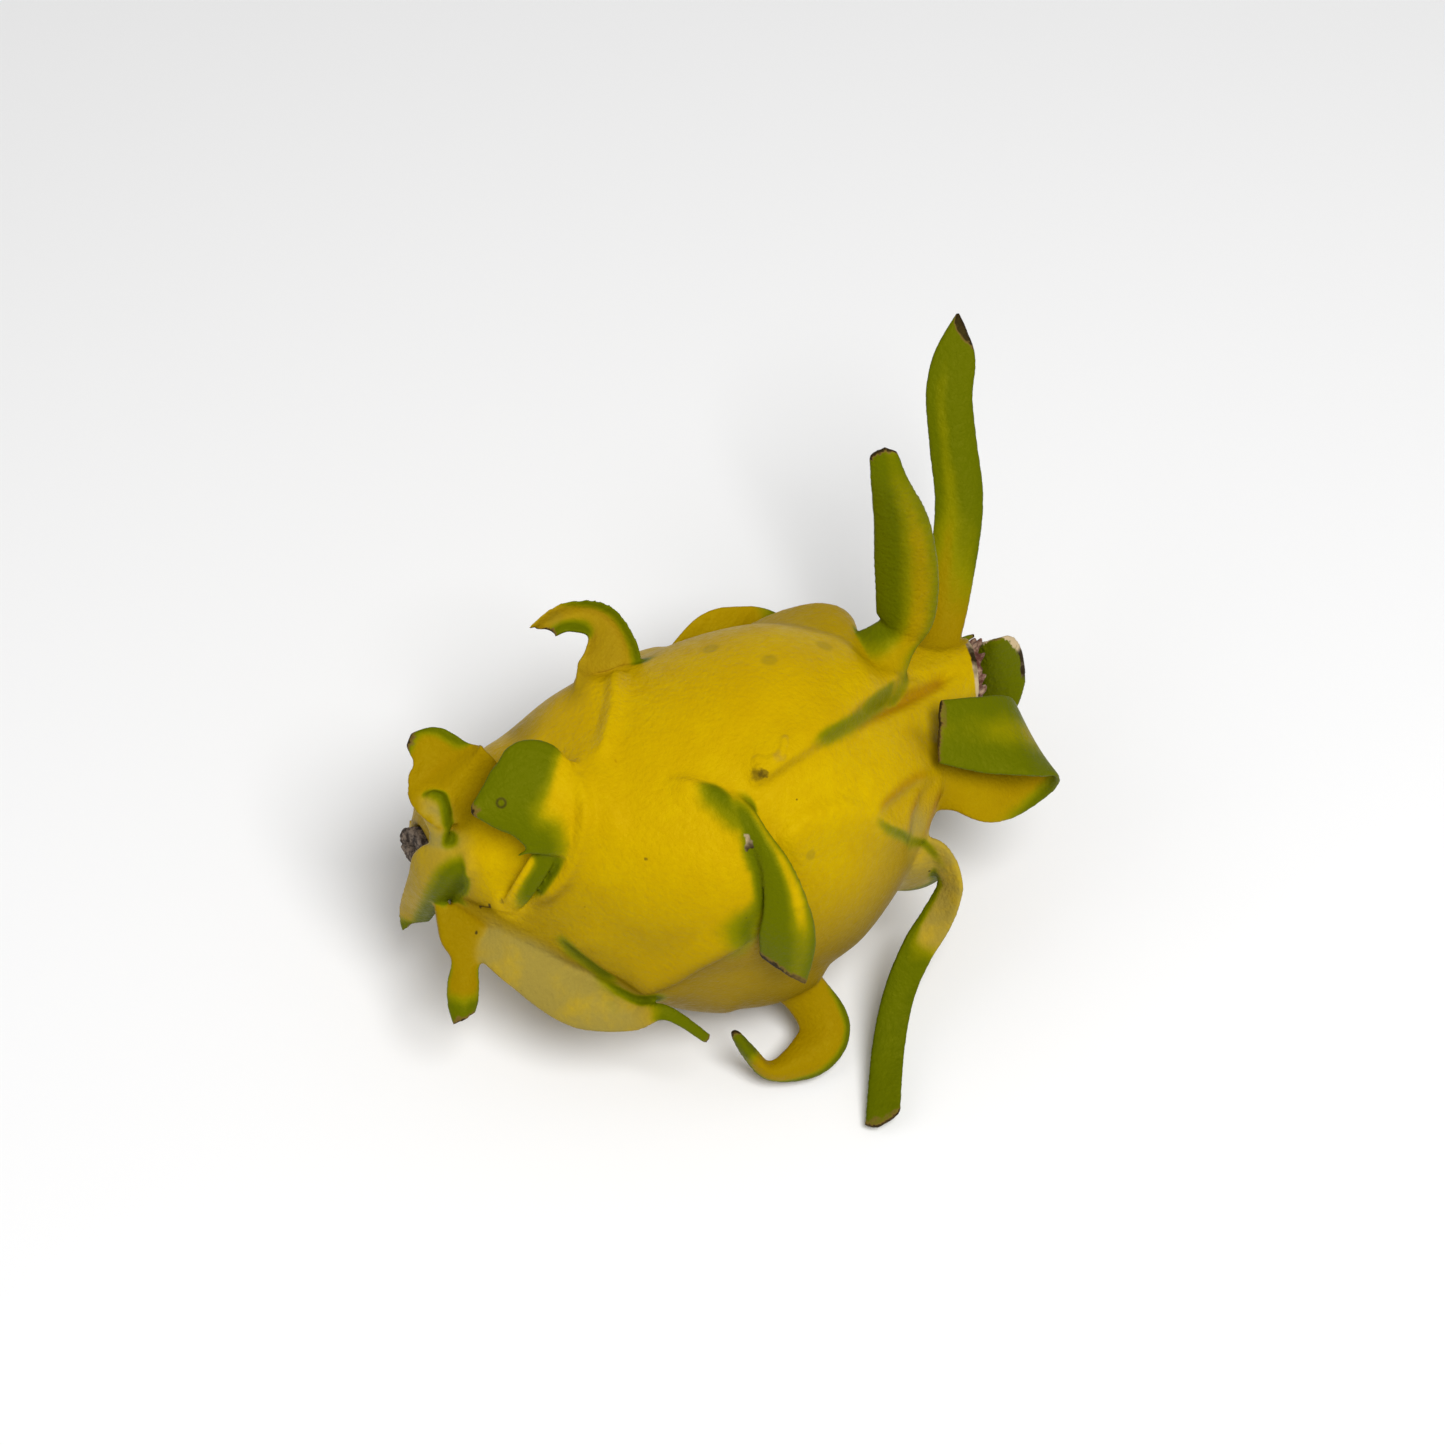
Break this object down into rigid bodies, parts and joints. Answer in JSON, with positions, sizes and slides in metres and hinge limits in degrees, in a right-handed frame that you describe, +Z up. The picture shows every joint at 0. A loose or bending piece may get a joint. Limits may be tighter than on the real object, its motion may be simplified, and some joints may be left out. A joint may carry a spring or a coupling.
{
  "type": "dragon fruit",
  "caption": "Whole yellow-skinned dragon fruit on its side, with curling green-edged scale leaves, a cut stem and a dried flower in its navel.",
  "frame": {"origin": "middle of the small flat spot under the fruit that it rests on", "axes": "+Z up, +X along the fruit from its stem end towards its navel"},
  "size_m": [0.1489, 0.1297, 0.111],
  "materials": {
    "rind": "waxy, satin",
    "dry_stem": "dry, cracked",
    "dried_flower": "dry, papery"
  },
  "bodies": {
    "root": {"fruit": "rind", "stem_stub": "dry_stem", "flower_remnant": "dried_flower"}
  },
  "joints": []
}
